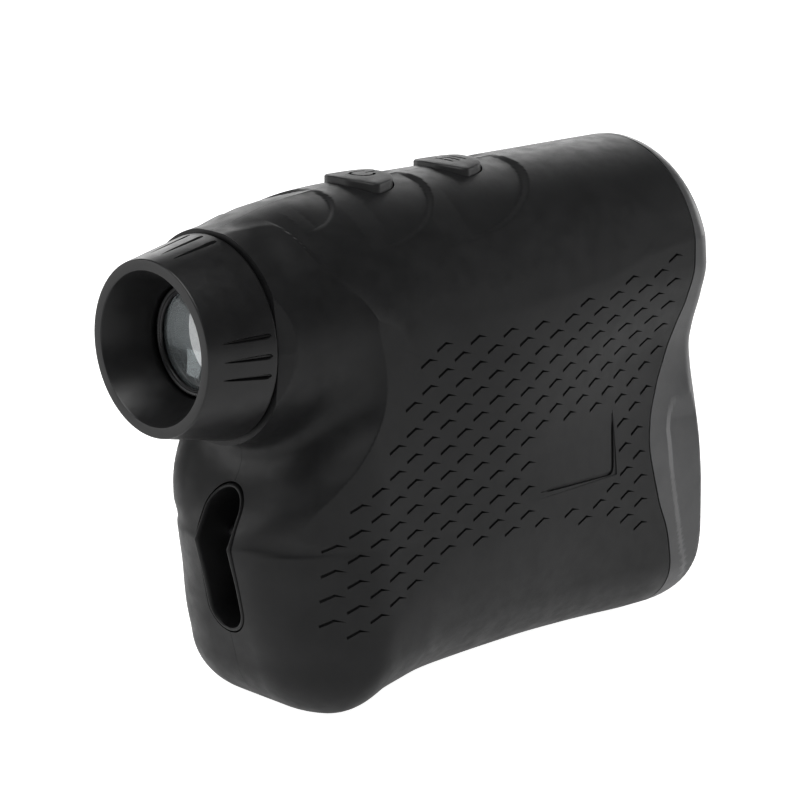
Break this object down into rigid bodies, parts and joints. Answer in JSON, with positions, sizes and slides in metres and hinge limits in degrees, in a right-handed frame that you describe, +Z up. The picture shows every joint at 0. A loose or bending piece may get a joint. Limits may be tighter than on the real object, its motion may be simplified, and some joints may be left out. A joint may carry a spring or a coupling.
{
  "type": "laser rangefinder",
  "caption": "Pocket laser rangefinder: clamshell body with grip panels, figure-eight front cover, diopter eyepiece, top press buttons, strap slot and side port flap",
  "frame": {"origin": "centre of the bounding box's base, on the plane the rangefinder stands on", "axes": "+Y forward along the line of sight, +Z up, +X to the user's right"},
  "size_m": [0.0366, 0.0934, 0.0728],
  "materials": {
    "body_shell": "soft-touch matt charcoal",
    "cover_shell": "satin charcoal",
    "grip_ring": "satin black",
    "black_metal": "black anodised",
    "button_rubber": "matt charcoal",
    "seal_rubber": "matt black",
    "lens_glass": "coated, clear",
    "steel": "plain",
    "board": "green solder mask",
    "chip": "moulded black",
    "inner_plastic": "matt black",
    "foil": "dull foil wrap",
    "flex": "amber film"
  },
  "bodies": {
    "body": {"apd_detector": "steel", "battery_cell": "foil", "battery_tray": "inner_plastic", "button_board": "board", "button_seal": "seal_rubber", "detector_board": "board", "eyepiece_guide": "inner_plastic", "flex_cable": "flex", "front_cover": "cover_shell", "half_penta_prism": "lens_glass", "housing_left": "body_shell", "housing_right": "body_shell", "housing_screw_1": "steel", "housing_screw_2": "steel", "housing_screw_3": "steel", "housing_screw_4": "steel", "laser_diode": "steel", "laser_holder": "inner_plastic", "lcd_frame": "inner_plastic", "lcd_panel": "lens_glass", "main_board": "board", "mode_switch": "chip", "objective_lens": "lens_glass", "objective_ring": "black_metal", "objective_tube": "black_metal", "optical_chassis": "inner_plastic", "power_switch": "chip", "prism_holder": "inner_plastic", "processor_chip": "chip", "receiver_lens": "lens_glass", "receiver_ring": "black_metal", "receiver_tube": "black_metal", "regulator_chip": "chip", "roof_prism": "lens_glass", "strap_bar": "steel", "strap_liner": "inner_plastic", "usb_port": "steel"},
    "diopter": {"diopter_ring": "grip_ring"},
    "lens_cell": {"eyepiece_cell": "black_metal", "eyepiece_stop_ring": "black_metal", "eye_lens": "lens_glass", "lens_spacer": "black_metal", "field_lens": "lens_glass", "cell_lock_ring": "black_metal"},
    "power_key": {"power_button": "button_rubber"},
    "mode_key": {"mode_button": "button_rubber"},
    "port_flap": {"usb_flap": "seal_rubber"}
  },
  "joints": [
    {"name": "diopter_turn", "type": "hinge", "parent": "body", "child": "diopter", "pos_m": [0, -0.0367, 0.0541], "axis": [0, 1, 0], "range_deg": [-150, 150]},
    {"name": "diopter_focus", "type": "slide", "parent": "body", "child": "lens_cell", "axis": [0, 1, 0], "range_m": [-0.0015, 0.0015]},
    {"name": "power_button_press", "type": "slide", "parent": "body", "child": "power_key", "axis": [0, 0, -1], "range_m": [0, 0.0008], "stiffness_N_per_m": 1200},
    {"name": "mode_button_press", "type": "slide", "parent": "body", "child": "mode_key", "axis": [0, 0, -1], "range_m": [0, 0.0008], "stiffness_N_per_m": 1200},
    {"name": "port_flap_open", "type": "hinge", "parent": "body", "child": "port_flap", "pos_m": [-0.0169, -0.0087, 0.0248], "axis": [0, 1, 0], "range_deg": [0, 95]}
  ],
  "couplings": [
    {"joint": "diopter_focus", "follows": "diopter_turn", "m_per_rad": 0.0005729}
  ]
}
